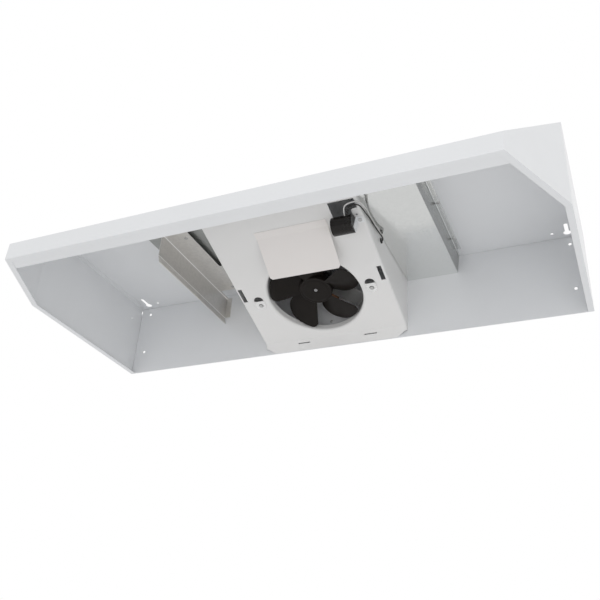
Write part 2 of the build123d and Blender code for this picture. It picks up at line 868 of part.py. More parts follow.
# Lamp shield: welded to the panel by its foot and bent down behind the lamp
with BuildPart() as lamp_shield:
    with BuildSketch(Plane.YZ.offset((shield_left + shield_right) / 2)):
        with BuildLine():
            bend_angle = panel_tilt + radians(shield_bend)
            root = panel_point(0, shield_run, 0)
            foot = panel_point(0, shield_run + shield_foot, 0)
            FilletPolyline(
                (foot[1], foot[2]),
                (root[1], root[2]),
                (root[1] + shield_length * cos(bend_angle), root[2] - shield_length * sin(bend_angle)),
                radius=bend_radius,
            )
            offset(amount=sheet, side=Side.RIGHT)
        make_face()
    extrude(amount=(shield_right - shield_left) / 2, both=True)
    free_corners = lamp_shield.edges().filter_by(
        lambda edge: edge.length < 2 * sheet and abs(edge.tangent_at(0.5).X) < 0.1
    ).sort_by(Axis.Z)[:2]
    chamfer(free_corners, length=shield_corner)
lamp_shield.part.label = "lamp_shield"

# Lamp socket: a moulded shell with its screw liner and centre contact, on an angle bracket
socket_start = panel_point(socket_left, socket_run, socket_rise)
socket_depth = socket_right - socket_left - socket_base
socket_bore_radius = socket_radius - socket_wall


def socket_plane(x):
    """A plane square to the socket's axis."""
    return Plane(origin=(x, socket_start[1], socket_start[2]), x_dir=(0, 1, 0), z_dir=(1, 0, 0))


with BuildPart() as lamp_socket:
    with BuildSketch(socket_plane(socket_left)):
        Circle(socket_radius)
    extrude(amount=socket_right - socket_left)
    fillet(lamp_socket.edges().filter_by(GeomType.CIRCLE).sort_by(Axis.X)[-1], radius=socket_rounding)
    with BuildSketch(socket_plane(socket_left)):
        Circle(socket_bore_radius)
    extrude(amount=socket_depth, mode=Mode.SUBTRACT)
lamp_socket.part.label = "lamp_socket"

with BuildPart() as lamp_socket_liner:
    with BuildSketch(socket_plane(socket_left + liner_inset)):
        Circle(socket_bore_radius)
        Circle(socket_bore_radius - liner_wall, mode=Mode.SUBTRACT)
    extrude(amount=socket_depth - liner_inset - contact_height - contact_gap)
lamp_socket_liner.part.label = "lamp_socket_liner"

with BuildPart() as lamp_contact:
    with BuildSketch(socket_plane(socket_left + socket_depth)):
        Circle(contact_radius)
    extrude(amount=-contact_height)
    chamfer(lamp_contact.edges().sort_by(Axis.X)[0], length=contact_height / 2)
lamp_contact.part.label = "lamp_contact"

with BuildPart() as lamp_bracket:
    with BuildSketch(square_plane(bracket_run)):
        with BuildLine():
            FilletPolyline(
                (bracket_foot_x, 0),
                (socket_right, 0),
                (socket_right, socket_rise - bracket_drop),
                radius=bend_radius,
            )
            offset(amount=bracket_sheet, side=Side.LEFT)
        make_face()
    extrude(amount=bracket_width / 2, both=True)
    with BuildSketch(panel_plane(lamp_rivet_x, bracket_run, 0)):
        Circle(rivet_radius)
    extrude(amount=2 * bracket_sheet, both=True, mode=Mode.SUBTRACT)
lamp_bracket.part.label = "lamp_bracket"
lamp_rivet = rivets("lamp_rivet", [(lamp_rivet_x, bracket_run)], -bracket_sheet, sheet)

# Leads: from the socket's upper side, round the panel's tongue, along the plenum's wall and in by a grommet


def lead_solid(name, points):
    """A lead as straight runs joined by tangent arcs as large as the runs allow."""
    corners = [Vector(*point) for point in points]
    runs = [corners[i + 1] - corners[i] for i in range(len(corners) - 1)]
    radii = []
    for before, after in zip(runs, runs[1:]):
        half_turn = radians(before.get_angle(after)) / 2
        radii.append(0.45 * min(before.length, after.length) / tan(half_turn))
    with BuildPart() as lead:
        with BuildLine():
            route = FilletPolyline(*corners, radius=radii)
        with BuildSketch(Plane(origin=route @ 0, z_dir=route % 0)):
            Circle(lead_radius)
        sweep(path=route)
    lead.part.label = name
    share = lead.part.volume / (pi * lead_radius**2 * route.length)
    print(name, "length", round(route.length, 1), "radii", [round(radius, 1) for radius in radii])
    print("volume over section times length", round(share, 4))
    return lead.part


def back_point(x, back, z):
    """A point given across the hood, from the back face and from the rim."""
    return (x, back_y - back, z)


def socket_side_point(x, reach):
    """A point at a distance from the socket's axis, in the direction in which its leads come out."""
    angle = radians(lead_exit_angle)
    return panel_point(x, socket_run + reach * cos(angle), socket_rise + reach * sin(angle))


grommet_low = grommet_z - lead_spacing / 2
grommet_high = grommet_z + lead_spacing / 2
wall_run_x = plenum_half + lead_wall_gap
turn_x = plenum_half + lead_stand
black_route = [
    socket_side_point(119.5, socket_radius),
    socket_side_point(119.5, socket_radius + 9.0),
    panel_point(window_right - 9.0, tongue_end + 9.0, -4.0),
    panel_point(plenum_half + 1.0, tongue_end + 8.0, -3.0),
    panel_point(plenum_half + 5.5, tongue_end - 9.0, -2.5),
    back_point(wall_run_x + 1.0, grommet_back + 88.0, grommet_z - 3.0),
    back_point(wall_run_x, grommet_back + 64.0, grommet_z + 3.5),
    back_point(wall_run_x, grommet_back + 27.0, grommet_z + 4.0),
    back_point(turn_x, grommet_back, grommet_low),
    back_point(plenum_half - 10.5, grommet_back, grommet_low),
    back_point(plenum_half - 27.5, grommet_back - 7.0, grommet_z - 10.0),
]
white_route = [
    socket_side_point(115.0, socket_radius),
    socket_side_point(115.0, socket_radius + 13.0),
    panel_point(window_right - 10.0, tongue_end + 14.5, -4.0),
    panel_point(plenum_half + 4.5, tongue_end + 13.5, -2.5),
    panel_point(plenum_half + 9.5, tongue_end - 6.0, -1.5),
    back_point(wall_run_x + 4.0, grommet_back + 90.0, grommet_z),
    back_point(wall_run_x + 0.4, grommet_back + 64.0, grommet_z + 6.8),
    back_point(wall_run_x + 0.4, grommet_back + 27.0, grommet_z + 6.9),
    back_point(turn_x, grommet_back, grommet_high),
    back_point(plenum_half - 10.5, grommet_back, grommet_high),
    back_point(plenum_half - 26.5, grommet_back + 8.0, grommet_z + 10.0),
]
lamp_lead_black = lead_solid("lamp_lead_black", black_route)
lamp_lead_white = lead_solid("lamp_lead_white", white_route)

grommet_middle = back_point(plenum_half, grommet_back, grommet_z)
with BuildPart() as wire_grommet:
    with BuildSketch(Plane(origin=grommet_middle, x_dir=(1, 0, 0), z_dir=(0, -1, 0))):
        with BuildLine():
            Polyline(
                (grommet_lip, grommet_bore_radius),
                (grommet_lip, grommet_radius),
                (0, grommet_radius),
                (0, grommet_hole_radius),
                (-sheet, grommet_hole_radius),
                (-sheet, grommet_radius),
                (-sheet - grommet_lip, grommet_radius),
                (-sheet - grommet_lip, grommet_bore_radius),
                close=True,
            )
        make_face()
    revolve(axis=Axis(grommet_middle, (1, 0, 0)))
wire_grommet.part.label = "wire_grommet"

with BuildPart() as wire_connectors:
    for route in (black_route, white_route):
        before_end, end = Vector(*route[-2]), Vector(*route[-1])
        end_plane = Plane(origin=end, z_dir=end - before_end)
        with BuildSketch(end_plane):
            Circle(connector_radius)
        with BuildSketch(end_plane.offset(connector_length)):
            Circle(connector_tip_radius)
        loft()
wire_connectors.part.label = "wire_connectors"

# Wiring box: a bent cover from the back panel to the slanted front, between the plenum and its own outer wall
with BuildPart() as wiring_box_cover:
    with BuildSketch(Plane.XZ.offset(-inner_back_y)):
        with BuildLine():
            FilletPolyline(
                (plenum_half, box_bottom + box_flange),
                (plenum_half, box_bottom),
                (box_outer_x, box_bottom),
                (box_outer_x + box_spread, ceiling_z - sheet),
                (box_outer_x + box_spread + box_flange, ceiling_z - sheet),
                radius=bend_radius,
            )
            offset(amount=sheet, side=Side.LEFT)
        make_face()
    extrude(amount=depth)
    extrude(room.sketch, amount=half_width, both=True, mode=Mode.INTERSECT)
    with BuildSketch(Plane.XY.offset(ceiling_z)):
        with Locations(*box_screw_places):
            Circle(screw_radius)
        # The flange stops short of the back panel
        with Locations((box_outer_x + box_spread + bend_radius + box_flange / 2, back_y - box_flange_back / 2)):
            Rectangle(box_flange, box_flange_back)
    extrude(amount=-2 * sheet, mode=Mode.SUBTRACT)
wiring_box_cover.part.label = "wiring_box_cover"

# Left bay: a galvanised angle channel hung from the flat top, and the plate that closes the port above it
channel_z = ceiling_z - channel_drop
channel_back_z = channel_z - channel_web
plate_start_y = back_y - channel_wide_back
with BuildPart() as side_channel:
    with BuildSketch(Plane.XZ.offset(-inner_back_y)):
        with BuildLine():
            FilletPolyline(
                (-channel_x + channel_lip_lean, channel_back_z - channel_lip),
                (-channel_x, channel_back_z),
                (-channel_x, channel_z),
                (-channel_x + channel_plate, channel_z),
                radius=bend_radius,
            )
            offset(amount=channel_sheet, side=Side.LEFT)
        make_face()
    extrude(amount=channel_front - 2 * sheet)
    # The top plate starts short of the back panel and widens to the plenum
    with BuildSketch(Plane.XY.offset(channel_z)):
        with BuildLine():
            Polyline(
                (-channel_x + 2 * bend_radius, back_y),
                (-channel_x + channel_plate, back_y),
                (-channel_x + channel_plate, plate_start_y),
                (-channel_x + 2 * bend_radius, plate_start_y),
                close=True,
            )
        make_face()
    extrude(amount=channel_sheet, mode=Mode.SUBTRACT)
    wide_length = channel_wide_front - channel_wide_back
    wing_width = channel_x - channel_plate - plenum_half
    with BuildSketch(Plane.XY.offset(channel_z)):
        with Locations((-plenum_half - wing_width / 2, plate_start_y - wide_length / 2)):
            Rectangle(wing_width, wide_length)
    extrude(amount=channel_sheet)
    with BuildSketch(Plane.XY.offset(channel_z)):
        with Locations((-plenum_half - channel_sheet / 2, plate_start_y - wide_length / 2)):
            Rectangle(channel_sheet, wide_length)
    extrude(amount=channel_drop - 2 * bend_radius)
    # Foot on the back panel
    with BuildSketch(Plane.XZ.offset(-inner_back_y)):
        with Locations((-channel_x + channel_foot / 2, channel_z - channel_web / 2)):
            Rectangle(channel_foot, channel_web)
    extrude(amount=channel_sheet)
    with BuildSketch(Plane.XY.offset(channel_z)):
        with Locations(*channel_screw_places):
            Circle(screw_radius)
    extrude(amount=channel_sheet, mode=Mode.SUBTRACT)
side_channel.part.label = "side_channel"

with BuildPart() as port_plate:
    with BuildSketch(Plane.XY.offset(ceiling_z)):
        plate_width = port_plate_left - plenum_half - plenum_flange - bend_radius
        plate_back = (port_plate_start + port_plate_end) / 2
        with Locations((-port_plate_left + plate_width / 2, back_y - plate_back)):
            Rectangle(plate_width, port_plate_end - port_plate_start)
        with Locations(channel_screw_places[1]):
            Circle(screw_radius, mode=Mode.SUBTRACT)
    extrude(amount=-channel_sheet)
port_plate.part.label = "port_plate"

with BuildPart() as channel_spacers:
    for place, top in zip(channel_screw_places, (ceiling_z, ceiling_z - channel_sheet)):
        with BuildSketch(Plane.XY.offset(channel_z + channel_sheet)):
            with Locations(place):
                Circle(spacer_radius)
                Circle(screw_radius, mode=Mode.SUBTRACT)
        extrude(amount=top - channel_z - channel_sheet)
channel_spacers.part.label = "channel_spacers"


def screws(name, places, bottom):
    """Pan-head screws driven upwards from a bottom height, ending flush with the flat top."""
    with BuildPart() as group:
        with BuildSketch(Plane.XY.offset(bottom)):
            with Locations(*places):
                Circle(screw_head_radius)
        extrude(amount=-screw_head)
        fillet(group.faces().sort_by(Axis.Z)[: len(places)].edges(), radius=screw_head / 2)
        with BuildSketch(Plane.XY.offset(bottom)):
            with Locations(*places):
                Circle(screw_radius)
        extrude(amount=height - bottom)
    group.part.label = name
    return group.part


channel_screws = screws("channel_screws", channel_screw_places, channel_z)
box_screws = screws("box_screws", box_screw_places, ceiling_z - sheet)


def switch_housing(x, name):
    """A switch housing snapped into the slanted front, with a bezel and bearings for its rocker."""
    face = slant_plane(x, switch_z)
    with BuildPart() as housing:
        with BuildSketch(face):
            Rectangle(switch_width + 2 * bezel_margin, switch_length + 2 * bezel_margin)
        extrude(amount=bezel_height)
        chamfer(housing.faces().sort_by(Axis((0, 0, 0), face.z_dir))[-1].edges(), length=bezel_height / 2)
        with BuildSketch(face):
            Rectangle(switch_width, switch_length)
        extrude(amount=-switch_depth)
        with BuildSketch(face.offset(bezel_height)):
            Rectangle(switch_width - 2 * switch_wall, switch_length - 2 * switch_wall)
        extrude(amount=switch_wall - switch_depth - bezel_height, mode=Mode.SUBTRACT)
        with BuildSketch(Plane(origin=face.origin, x_dir=face.y_dir, z_dir=face.x_dir)):
            Circle(pivot_radius + running_clearance)
        extrude(amount=switch_width / 2, both=True, mode=Mode.SUBTRACT)
    housing.part.label = name
    return housing.part


def switch_rocker(x, name):
    """A rocker whose ends follow an arc about its pivot pins, with a hollow of two flats on top."""
    face = slant_plane(x, switch_z)
    side_view = Plane(origin=face.origin, x_dir=face.y_dir, z_dir=face.x_dir)
    reach = switch_length / 2 - switch_wall - rocker_gap
    rocker_half = switch_width / 2 - switch_wall - rocker_gap
    with BuildPart() as rocker:
        with BuildSketch(side_view):
            Circle(reach)
            with BuildLine():
                rim = rocker_height + reach * tan(radians(rocker_tilt))
                Polyline(
                    (-reach, rim),
                    (0, rocker_height),
                    (reach, rim),
                    (reach, -rocker_drop),
                    (-reach, -rocker_drop),
                    close=True,
                )
            make_face(mode=Mode.INTERSECT)
        extrude(amount=rocker_half, both=True)
        with BuildSketch(side_view):
            Circle(pivot_radius)
        extrude(amount=switch_width / 2 - running_clearance, both=True)
    rocker.part.label = name
    return rocker.part


fan_switch = switch_housing(switch_xs[0], "fan_switch")
fan_rocker = switch_rocker(switch_xs[0], "fan_rocker")
light_switch = switch_housing(switch_xs[1], "light_switch")
light_rocker = switch_rocker(switch_xs[1], "light_rocker")

pieces = [
    canopy_wrap.part,
    end_panel_right.part,
    end_panel_left.part,
    back_panel.part,
    front_rail.part,
    fan_plenum.part,
    filter_clip_right,
    filter_clip_left,
    clip_rivets,
    fan_blade.part,
    motor_shaft.part,
    motor_rotor.part,
    motor_stator.part,
    motor_coil.part,
    bearing_plate_lower,
    bearing_plate_upper.part,
    sleeve_bearings.part,
    motor_spacers.part,
    motor_strap.part,
    motor_bolts.part,
    motor_nuts.part,
    lamp_shield.part,
    lamp_socket.part,
    lamp_socket_liner.part,
    lamp_contact.part,
    lamp_bracket.part,
    lamp_rivet,
    lamp_lead_black,
    lamp_lead_white,
    wire_grommet.part,
    wire_connectors.part,
    wiring_box_cover.part,
    box_screws,
    side_channel.part,
    port_plate.part,
    channel_spacers.part,
    channel_screws,
    fan_switch,
    fan_rocker,
    light_switch,
    light_rocker,
]
for piece in pieces:
    export_step(piece, f"parts/{piece.label}.step")
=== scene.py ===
import bmesh
import bpy
import numpy as np
from math import cos, pi, radians, sin
from mathutils import Matrix, Vector


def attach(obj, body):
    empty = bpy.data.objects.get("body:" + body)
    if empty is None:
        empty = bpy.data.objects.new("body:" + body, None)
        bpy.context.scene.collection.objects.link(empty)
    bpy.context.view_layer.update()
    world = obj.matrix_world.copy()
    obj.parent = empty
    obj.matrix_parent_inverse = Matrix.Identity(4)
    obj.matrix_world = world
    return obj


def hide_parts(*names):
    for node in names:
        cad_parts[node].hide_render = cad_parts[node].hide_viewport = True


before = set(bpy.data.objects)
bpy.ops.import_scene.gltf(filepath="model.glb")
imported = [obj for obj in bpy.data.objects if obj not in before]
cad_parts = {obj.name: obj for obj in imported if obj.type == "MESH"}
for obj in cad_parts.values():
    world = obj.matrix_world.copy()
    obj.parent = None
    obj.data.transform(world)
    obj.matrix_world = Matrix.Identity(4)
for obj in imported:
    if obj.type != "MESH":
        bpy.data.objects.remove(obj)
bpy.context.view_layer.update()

# Camera: it stands before the right half of the hood, below its rim, and looks up into the canopy.
# Its place, turn and lens were fitted to the corners and holes of the hood.
camera_place = Vector((0.48485, -0.95770, -0.62457))
camera_right = Vector((0.914737, 0.399590, 0.059867)).normalized()
camera_forward = Vector((-0.375471, 0.785922, 0.491272)).normalized()
sensor_width, focal_length = 36.0, 45.655
camera_data = bpy.data.cameras.new("camera")
camera_data.sensor_width = sensor_width
camera_data.lens = focal_length
camera_data.clip_start = 0.05
camera_data.clip_end = 30.0
camera = bpy.data.objects.new("camera", camera_data)
bpy.context.scene.collection.objects.link(camera)
camera_up = camera_right.cross(camera_forward)
camera.matrix_world = Matrix.Translation(camera_place) @ Matrix(
    (camera_right, camera_up, -camera_forward)
).transposed().to_4x4()
bpy.context.scene.camera = camera
bpy.context.scene.view_settings.view_transform = "Standard"

# Studio: a white sweep all round, a pale floor well below the hanging hood, and two soft boxes.
# The sweep is white to the lens and in reflections, and a little dimmer as a light.
sweep_light = 0.84
floor_z = -1.30
floor_half = 3.0
floor_grey = (0.86, 0.86, 0.86, 1.0)
lamps_aim = Vector((0.0, 0.0, 0.08))


def studio_white(tree, dim):
    """White to the lens and in reflections, and the dimmer grey to every other ray."""
    path = tree.nodes.new("ShaderNodeLightPath")
    seen = tree.nodes.new("ShaderNodeMath")
    seen.operation = "MAXIMUM"
    tree.links.new(path.outputs["Is Camera Ray"], seen.inputs[0])
    tree.links.new(path.outputs["Is Glossy Ray"], seen.inputs[1])
    through = tree.nodes.new("ShaderNodeMath")
    through.operation = "MAXIMUM"
    tree.links.new(seen.outputs[0], through.inputs[0])
    tree.links.new(path.outputs["Is Transmission Ray"], through.inputs[1])
    strength = tree.nodes.new("ShaderNodeMapRange")
    strength.inputs["To Min"].default_value = dim
    strength.inputs["To Max"].default_value = 1.0
    tree.links.new(through.outputs[0], strength.inputs["Value"])
    return strength.outputs["Result"]


world = bpy.data.worlds.new("sweep")
bpy.context.scene.world = world
world.use_nodes = True
backdrop = world.node_tree.nodes["Background"]
backdrop.inputs["Color"].default_value = (1.0, 1.0, 1.0, 1.0)
world.node_tree.links.new(studio_white(world.node_tree, sweep_light), backdrop.inputs["Strength"])

floor_mesh = bpy.data.meshes.new("floor")
floor_mesh.from_pydata(
    [(x * floor_half, y * floor_half, floor_z) for x, y in ((-1, -1), (1, -1), (1, 1), (-1, 1))],
    [],
    [(0, 1, 2, 3)],
)
floor = bpy.data.objects.new("floor", floor_mesh)
bpy.context.scene.collection.objects.link(floor)
floor_paint = bpy.data.materials.new("floor_paint")
floor_paint.use_nodes = True
floor_shader = floor_paint.node_tree.nodes["Principled BSDF"]
floor_shader.inputs["Base Color"].default_value = floor_grey
floor_shader.inputs["Roughness"].default_value = 0.9
floor_mesh.materials.append(floor_paint)

for name, place, size, power in (
    ("front_soft_box", (0.20, -1.90, -0.60), 1.3, 3.0),
    ("low_soft_box", (0.90, -1.10, -1.10), 1.3, 4.0),
):
    lamp_data = bpy.data.lights.new(name, "AREA")
    lamp_data.size = size
    lamp_data.energy = power
    lamp = bpy.data.objects.new(name, lamp_data)
    lamp.location = place
    lamp.rotation_euler = (lamps_aim - Vector(place)).to_track_quat("-Z", "Y").to_euler()
    bpy.context.scene.collection.objects.link(lamp)

# Canopy: one wrap of sheet steel bent from the lip to the rear turn-down, two end panels with mitred wings,
# the back panel and the stiffening rail behind the lip. All are spot welded, then enamelled white.


def new_finish(name, roughness, metallic=0.0):
    """A bare finish: its material, its node tree and its shader."""
    material = bpy.data.materials.new(name)
    material.use_nodes = True
    tree = material.node_tree
    shader = tree.nodes["Principled BSDF"]
    shader.inputs["Roughness"].default_value = roughness
    shader.inputs["Metallic"].default_value = metallic
    return material, tree, shader


def cloud(tree, scale, detail=3.0, stretch=(1.0, 1.0, 1.0), turn=(0.0, 0.0, 0.0)):
    """Soft noise fixed to the piece, from 0 to 1, drawn out along an axis where stretch is under 1."""
    place = tree.nodes.new("ShaderNodeTexCoord")
    mapping = tree.nodes.new("ShaderNodeMapping")
    mapping.inputs["Scale"].default_value = stretch
    mapping.inputs["Rotation"].default_value = turn
    noise = tree.nodes.new("ShaderNodeTexNoise")
    noise.inputs["Scale"].default_value = scale
    noise.inputs["Detail"].default_value = detail
    tree.links.new(place.outputs["Object"], mapping.inputs["Vector"])
    tree.links.new(mapping.outputs["Vector"], noise.inputs["Vector"])
    return noise.outputs["Fac"]


def tone_between(tree, shader, factor, dark, light):
    """The base colour runs from dark to light as the factor does."""
    ramp = tree.nodes.new("ShaderNodeValToRGB")
    ramp.color_ramp.elements[0].position = 0.30
    ramp.color_ramp.elements[0].color = (*dark, 1.0)
    ramp.color_ramp.elements[1].position = 0.70
    ramp.color_ramp.elements[1].color = (*light, 1.0)
    tree.links.new(factor, ramp.inputs["Fac"])
    tree.links.new(ramp.outputs["Color"], shader.inputs["Base Color"])


def gloss_between(tree, shader, factor, low, high):
    """The roughness runs from low to high as the factor does."""
    spread = tree.nodes.new("ShaderNodeMapRange")
    spread.inputs["From Min"].default_value = 0.3
    spread.inputs["From Max"].default_value = 0.7
    spread.inputs["To Min"].default_value = low
    spread.inputs["To Max"].default_value = high
    tree.links.new(factor, spread.inputs["Value"])
    tree.links.new(spread.outputs["Result"], shader.inputs["Roughness"])


def relief(tree, shader, factor, height):
    """The surface rises by up to height, in metres, as the factor does."""
    bump = tree.nodes.new("ShaderNodeBump")
    bump.inputs["Distance"].default_value = height
    bump.inputs["Strength"].default_value = 1.0
    tree.links.new(factor, bump.inputs["Height"])
    tree.links.new(bump.outputs["Normal"], shader.inputs["Normal"])


def enamel(name, tone, roughness=0.34):
    """Sprayed and baked enamel: a faint cloudiness, and orange peel a millimetre or two across."""
    material, tree, shader = new_finish(name, roughness)
    shader.inputs["Coat Weight"].default_value = 0.25
    shader.inputs["Coat Roughness"].default_value = 0.12
    dark = [channel * 0.965 for channel in tone]
    tone_between(tree, shader, cloud(tree, 5.0), dark, tone)
    gloss_between(tree, shader, cloud(tree, 30.0), roughness - 0.05, roughness + 0.08)
    relief(tree, shader, cloud(tree, 520.0, 2.0), 0.00003)
    return material


def dress(material, *names):
    """A material for CAD pieces whose shape is right as it is."""
    for name in names:
        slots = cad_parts[name].data.materials
        slots.clear()
        slots.append(material)


canopy_enamel = enamel("canopy_enamel", (0.800, 0.812, 0.828))
dress(canopy_enamel, "canopy_wrap", "end_panel_right", "end_panel_left", "back_panel", "front_rail")

# Fan plenum: the sloped panel with its side walls and rolled orifice, bent from one sheet. It is sprayed with a
# slightly warmer and duller white than the canopy, and spot welded under the flat top.
plenum_enamel = enamel("plenum_enamel", (0.790, 0.785, 0.778), 0.38)
dress(plenum_enamel, "fan_plenum")

# Turning clips: two blanks of bright spring steel with a lip turned down, which hold the grease filter.
# Plated rivets hold them to the panel and leave them free to turn, with a dark ring of painted shade round the
# heads.


def rolled_steel(name, tone, roughness=0.30):
    """Bright rolled strip: fine streaks along the rolling direction and a little haze."""
    material, tree, shader = new_finish(name, roughness, 1.0)
    streaks = cloud(tree, 900.0, 2.0, (0.04, 1.0, 1.0))
    tone_between(tree, shader, cloud(tree, 60.0), [channel * 0.88 for channel in tone], tone)
    gloss_between(tree, shader, streaks, roughness - 0.06, roughness + 0.12)
    relief(tree, shader, streaks, 0.000008)
    return material


def rivet_shade_ring(material, centre, inner, outer):
    """A dark ring of painted shade round a rivet, between two distances from it, on either side of the hood."""
    tree = material.node_tree
    shader = tree.nodes["Principled BSDF"]
    tone = shader.inputs["Base Color"].links[0].from_socket
    place = tree.nodes.new("ShaderNodeTexCoord")
    folded = tree.nodes.new("ShaderNodeVectorMath")
    folded.operation = "ABSOLUTE"
    away = tree.nodes.new("ShaderNodeVectorMath")
    away.operation = "DISTANCE"
    away.inputs[1].default_value = centre
    fade = tree.nodes.new("ShaderNodeMapRange")
    fade.inputs["From Min"].default_value = inner
    fade.inputs["From Max"].default_value = outer
    blend = tree.nodes.new("ShaderNodeMix")
    blend.data_type = "RGBA"
    # The ring's near black is painted shade in the gap round the rivet head.
    blend.inputs["A"].default_value = (0.04, 0.035, 0.03, 1.0)
    tree.links.new(place.outputs["Object"], folded.inputs[0])
    tree.links.new(folded.outputs["Vector"], away.inputs[0])
    tree.links.new(away.outputs["Value"], fade.inputs["Value"])
    tree.links.new(fade.outputs["Result"], blend.inputs["Factor"])
    tree.links.new(tone, blend.inputs["B"])
    tree.links.new(blend.outputs["Result"], shader.inputs["Base Color"])


clip_rivet = (0.107, 0.11828, 0.04967)
shade_ring_inner, shade_ring_outer = 0.0038, 0.0048
spring_steel = rolled_steel("spring_steel", (0.95, 0.95, 0.945), 0.22)
rivet_shade_ring(spring_steel, clip_rivet, shade_ring_inner, shade_ring_outer)
plated_steel = rolled_steel("plated_steel", (0.60, 0.60, 0.595), 0.36)
dress(spring_steel, "filter_clip_right", "filter_clip_left")
dress(plated_steel, "clip_rivets", "lamp_rivet")

# Fan: five twisted blades round a cupped hub, moulded in one piece of black plastic with a fine grain.
# Its hub has a sunk ring and three ejector marks in its face, and is pressed on the motor's shaft.


def moulding(name, tone, roughness, grain=0.000012, shine=0.5):
    """Moulded plastic: the grain of the mould, a slight flow mottle and rubbed, shinier patches."""
    material, tree, shader = new_finish(name, roughness)
    shader.inputs["Specular IOR Level"].default_value = shine
    tone_between(tree, shader, cloud(tree, 25.0), [channel * 0.80 for channel in tone], tone)
    gloss_between(tree, shader, cloud(tree, 45.0), roughness - 0.08, roughness + 0.10)
    relief(tree, shader, cloud(tree, 1600.0, 1.0), grain)
    return material


def skin(name, points, faces, material):
    """A piece from an array of points, in metres, and one of faces. Rings that meet are joined into one skin."""
    mesh = bpy.data.meshes.new(name)
    mesh.from_pydata(points.reshape(-1, 3).tolist(), [], faces.tolist())
    seams = bmesh.new()
    seams.from_mesh(mesh)
    bmesh.ops.remove_doubles(seams, verts=seams.verts, dist=0.000002)
    bmesh.ops.dissolve_degenerate(seams, edges=seams.edges, dist=0.000001)
    bmesh.ops.recalc_face_normals(seams, faces=seams.faces)
    seams.to_mesh(mesh)
    seams.free()
    mesh.materials.append(material)
    mesh.shade_smooth()
    piece = bpy.data.objects.new(name, mesh)
    bpy.context.scene.collection.objects.link(piece)
    return piece


def tube_faces(rings, around, start=0):
    """Quads between rings of points, each ring closed on itself, turned so that they face outwards."""
    ring, side = np.meshgrid(np.arange(rings - 1), np.arange(around), indexing="ij")
    here = start + ring * around + side
    beside = start + ring * around + (side + 1) % around
    return np.stack((here, beside, beside + around, here + around), -1).reshape(-1, 4)


millimetre = 0.001
slope = radians(18.44)
fan_centre = np.array((0.0, 0.11553, 0.05059))
fan_backwards = np.array((0.0, cos(slope), -sin(slope)))
fan_up = np.array((0.0, sin(slope), cos(slope)))


def on_fan(x, back, rise):
    """From the fan's own frame, in millimetres: across, backwards along the panel, and up its axis."""
    sideways = np.array((1.0, 0.0, 0.0))
    place = x[..., None] * sideways + back[..., None] * fan_backwards + rise[..., None] * fan_up
    return fan_centre + place * millimetre


blade_count = 5
blade_pitch = 360 / blade_count
first_low_edge = 105.5
blade_root, blade_tip = 27.8, 84.0
blade_sheet = 1.7
root_spread, tip_spread, spread_start = 62, 44, 46
low_corner_share, low_corner_cut = 0.22, 13
high_corner_share, high_corner_cut = 0.36, 24
low_rise_root, low_rise_fall = 13, 11
high_rise_root, high_rise_fall = 26, 5
blade_bow = 12


def fan_blades(rings=44, around=96):
    """The blades. Along a blade goes the radius, from the hub to a tip whose two corners are rounded. Round its
    section goes an angle: its cosine is the place from the low edge to the high one, its sine the side. The low
    edge is a straight spoke, and the high edge bulges near the hub. The section climbs from one to the other,
    steeper near the hub, and bows towards the inlet. It closes to a point at the tip and inside the hub."""
    lengthwise, section = np.linspace(0, 1, rings), np.linspace(0, 2 * pi, around, endpoint=False)
    along, angle = np.meshgrid(lengthwise, section, indexing="ij")
    across = (1 - np.cos(angle)) / 2
    low_corner = np.clip(1 - across / low_corner_share, 0, 1)
    high_corner = np.clip(1 - (1 - across) / high_corner_share, 0, 1)
    reach = blade_tip - low_corner_cut * (1 - np.sqrt(1 - low_corner**2))
    reach = reach - high_corner_cut * (1 - np.sqrt(1 - high_corner**2))
    radius = blade_root + (reach - blade_root) * along
    out = np.clip((radius - blade_root) / (blade_tip - blade_root), 0, 1)
    narrowing = np.clip((radius - spread_start) / (blade_tip - spread_start), 0, 1) ** 1.3
    spread = np.radians(root_spread - (root_spread - tip_spread) * narrowing)
    low_rise = low_rise_root - low_rise_fall * out**0.8
    high_rise = high_rise_root - high_rise_fall * out
    bow = blade_bow * across * (1 - across) * (0.4 + 0.6 * out)
    fullness = np.abs(np.sin(angle)) ** 0.35 * np.sqrt(1 - along**24) * np.clip((rings - 1) * along, 0, 1)
    rise = low_rise + (high_rise - low_rise) * across - bow - blade_sheet / 2 * fullness * np.sign(np.sin(angle))
    spokes = np.radians(first_low_edge + blade_pitch * np.arange(blade_count))
    turn = spokes[:, None, None] + (spread * across)[None]
    points = on_fan(radius * np.cos(turn), radius * np.sin(turn), np.broadcast_to(rise, turn.shape))
    return points, rings, around


hub_radius, hub_wall, hub_rounding, hub_depth = 30.0, 2.4, 2.0, 35.0
face_rise = 12.5
boss_radius, shaft_bore = 7.0, 3.2
mark_circle, mark_radius, mark_depth = 8.2, 1.6, 0.8


